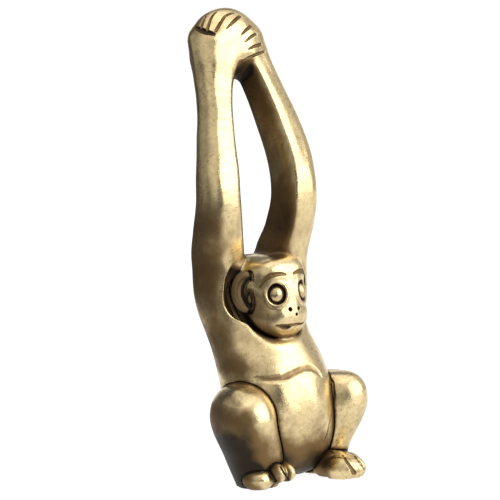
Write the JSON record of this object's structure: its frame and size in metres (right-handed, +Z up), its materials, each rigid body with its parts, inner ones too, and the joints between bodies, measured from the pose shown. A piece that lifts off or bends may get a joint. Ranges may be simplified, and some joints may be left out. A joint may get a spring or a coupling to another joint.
{
  "type": "gibbon figurine",
  "caption": "Cast-brass gibbon that squats with its knees up and clasps its long arms over its head, so that the arms make a loop for a cord; stands on its feet and seat.",
  "frame": {"origin": "middle of the bounding box at the ground the figure stands on", "axes": "+Z up, the face looks along -Y, the figure's left side is towards +X"},
  "size_m": [0.0214, 0.0192, 0.0586],
  "materials": {
    "polished_brass": "antiqued and rubbed bright",
    "dark_brass": "antiqued, left dark in the hollows"
  },
  "bodies": {
    "root": {"belly": "polished_brass", "chest": "polished_brass", "head": "polished_brass", "right_eye": "dark_brass", "left_eye": "dark_brass", "right_ear": "dark_brass", "left_ear": "dark_brass", "right_arm": "polished_brass", "left_arm": "polished_brass", "right_hand": "polished_brass", "left_hand": "polished_brass", "right_leg": "polished_brass", "left_leg": "polished_brass", "right_foot": "polished_brass", "left_foot": "polished_brass"}
  },
  "joints": []
}
